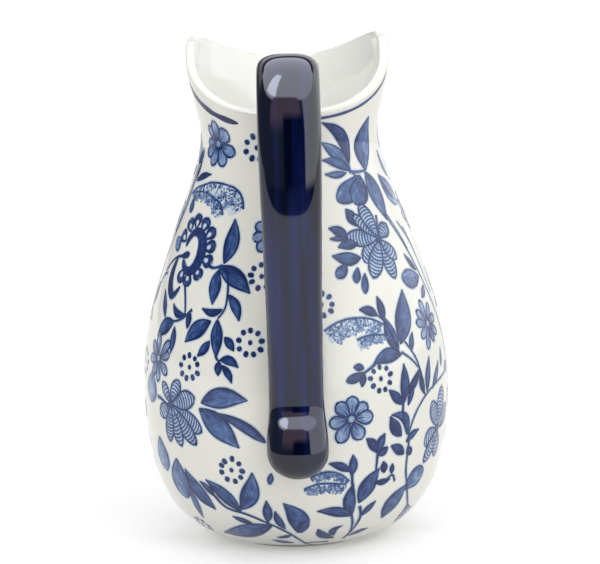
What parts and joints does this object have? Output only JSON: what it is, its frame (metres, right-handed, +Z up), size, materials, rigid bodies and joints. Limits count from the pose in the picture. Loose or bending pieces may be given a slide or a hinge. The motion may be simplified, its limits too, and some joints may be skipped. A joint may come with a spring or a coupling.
{
  "type": "cream jug",
  "caption": "Pear-shaped porcelain cream jug with a saddle-shaped pouring mouth, an arched strap handle and an unglazed foot ring.",
  "frame": {"origin": "centre of the foot ring, on the plane it stands on", "axes": "+Z up along the jug's turning axis, +Y toward the pouring spout, the handle stands on the -Y side, +X completes a right-handed frame"},
  "size_m": [0.0788, 0.092, 0.1308],
  "materials": {
    "decorated_porcelain": "clear gloss glaze over white porcelain with painted blue flowers",
    "bare_porcelain": "unglazed, wiped clean for the kiln shelf",
    "cobalt_glaze": "thick gloss glaze over dark cobalt"
  },
  "bodies": {
    "root": {"jug_body": "decorated_porcelain", "foot_ring": "bare_porcelain", "handle": "cobalt_glaze"}
  },
  "joints": []
}
